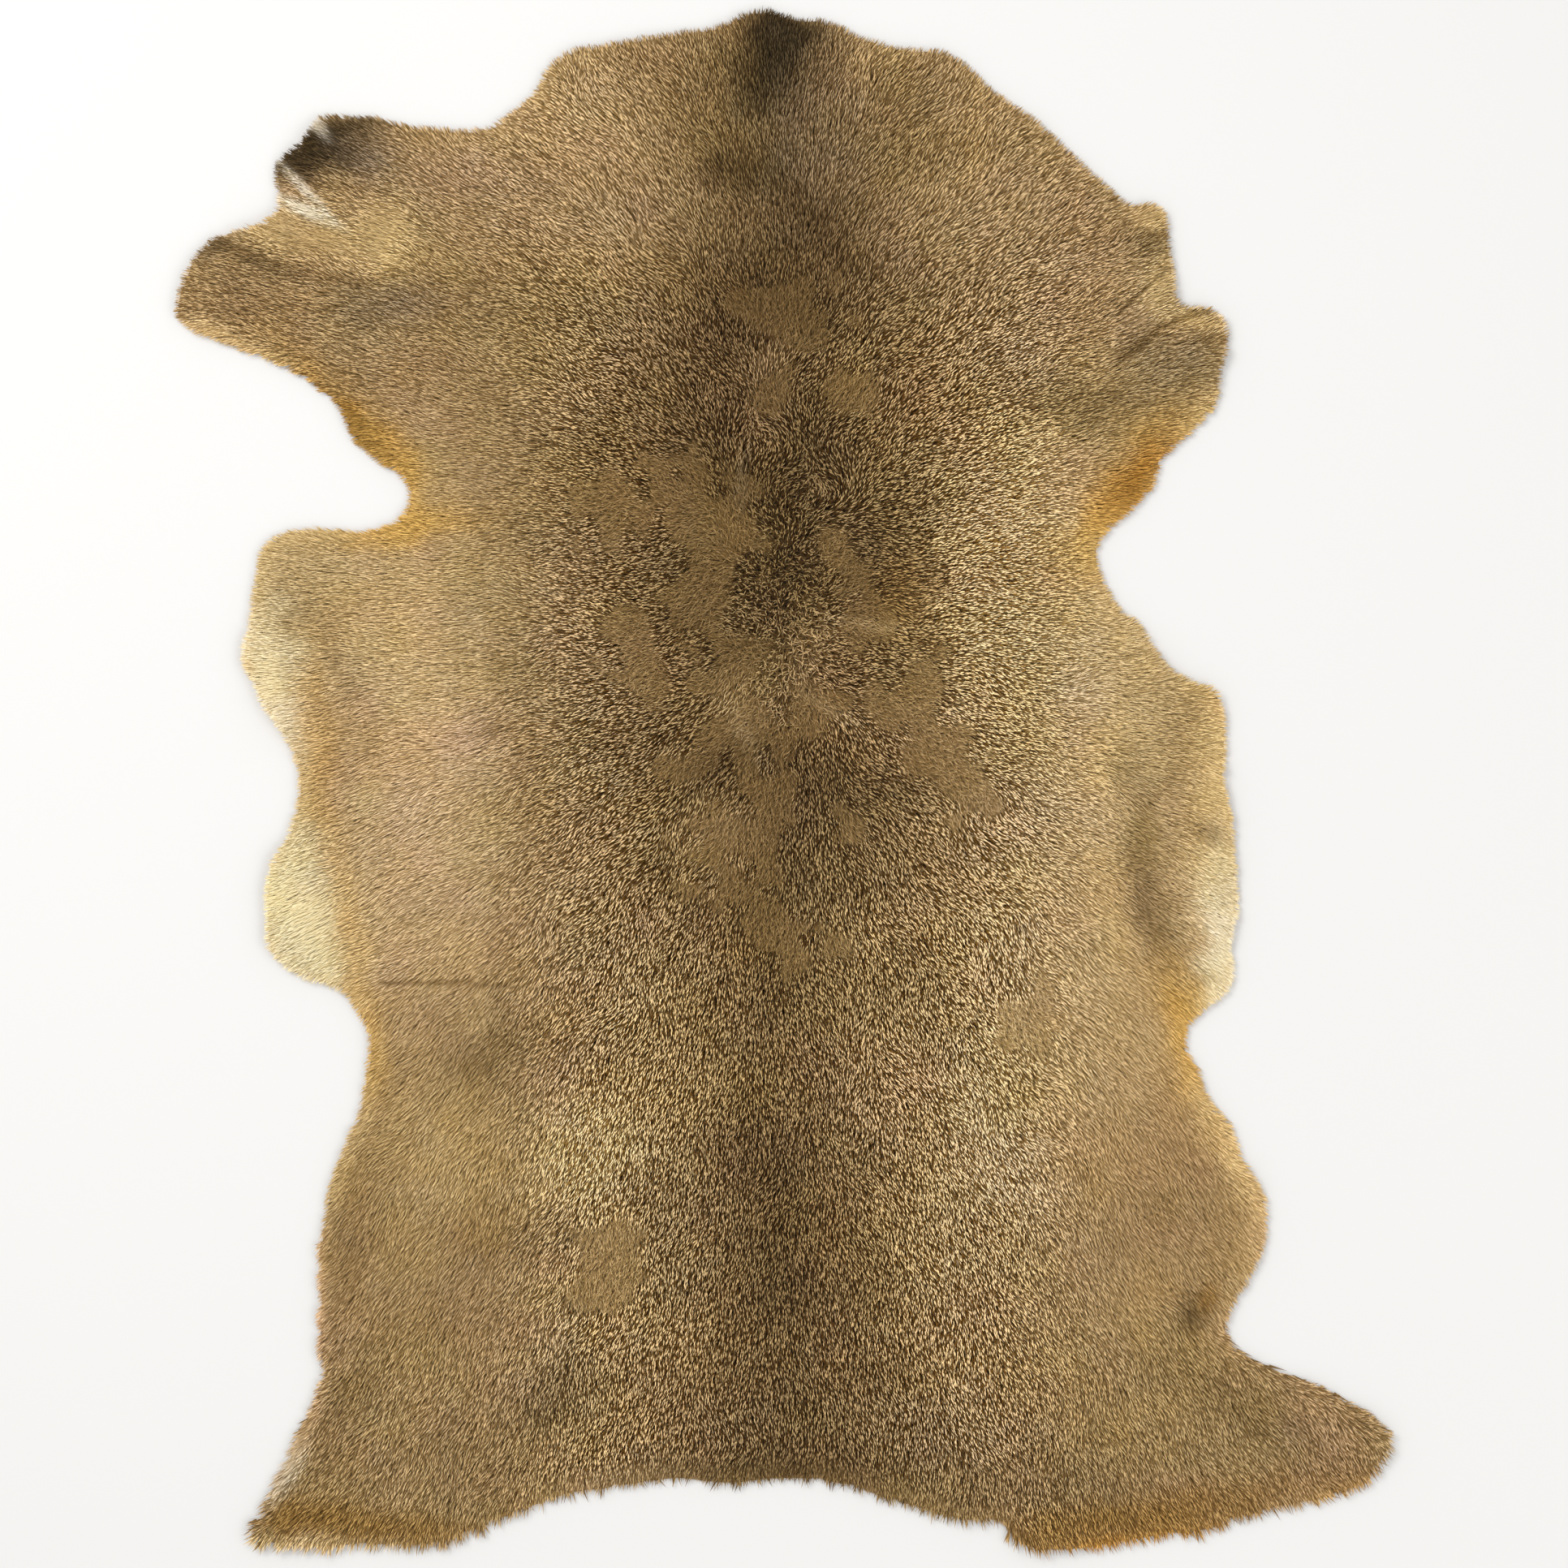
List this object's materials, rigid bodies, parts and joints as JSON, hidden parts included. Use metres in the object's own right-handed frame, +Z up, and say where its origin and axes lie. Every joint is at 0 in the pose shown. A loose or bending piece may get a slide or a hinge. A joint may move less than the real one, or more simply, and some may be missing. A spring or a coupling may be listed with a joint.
{
  "type": "deerhide rug",
  "caption": "One tanned deer hide with short lying hair, a natural uneven outline with leg tabs and belly lobes, low soft folds near the rim and a flat underside that lies on a floor.",
  "frame": {"origin": "on the floor, under the middle of the hide's outer box", "axes": "+Z up through the hair side, +Y towards the narrow end of the hide, +X to the right seen from above"},
  "size_m": [0.8692, 1.1026, 0.0172],
  "materials": {
    "hair": "lying animal hair, flecked tan and dark brown, soft sheen",
    "skin": "matt suede flesh side"
  },
  "bodies": {
    "root": {"hide": "hair"}
  },
  "joints": []
}
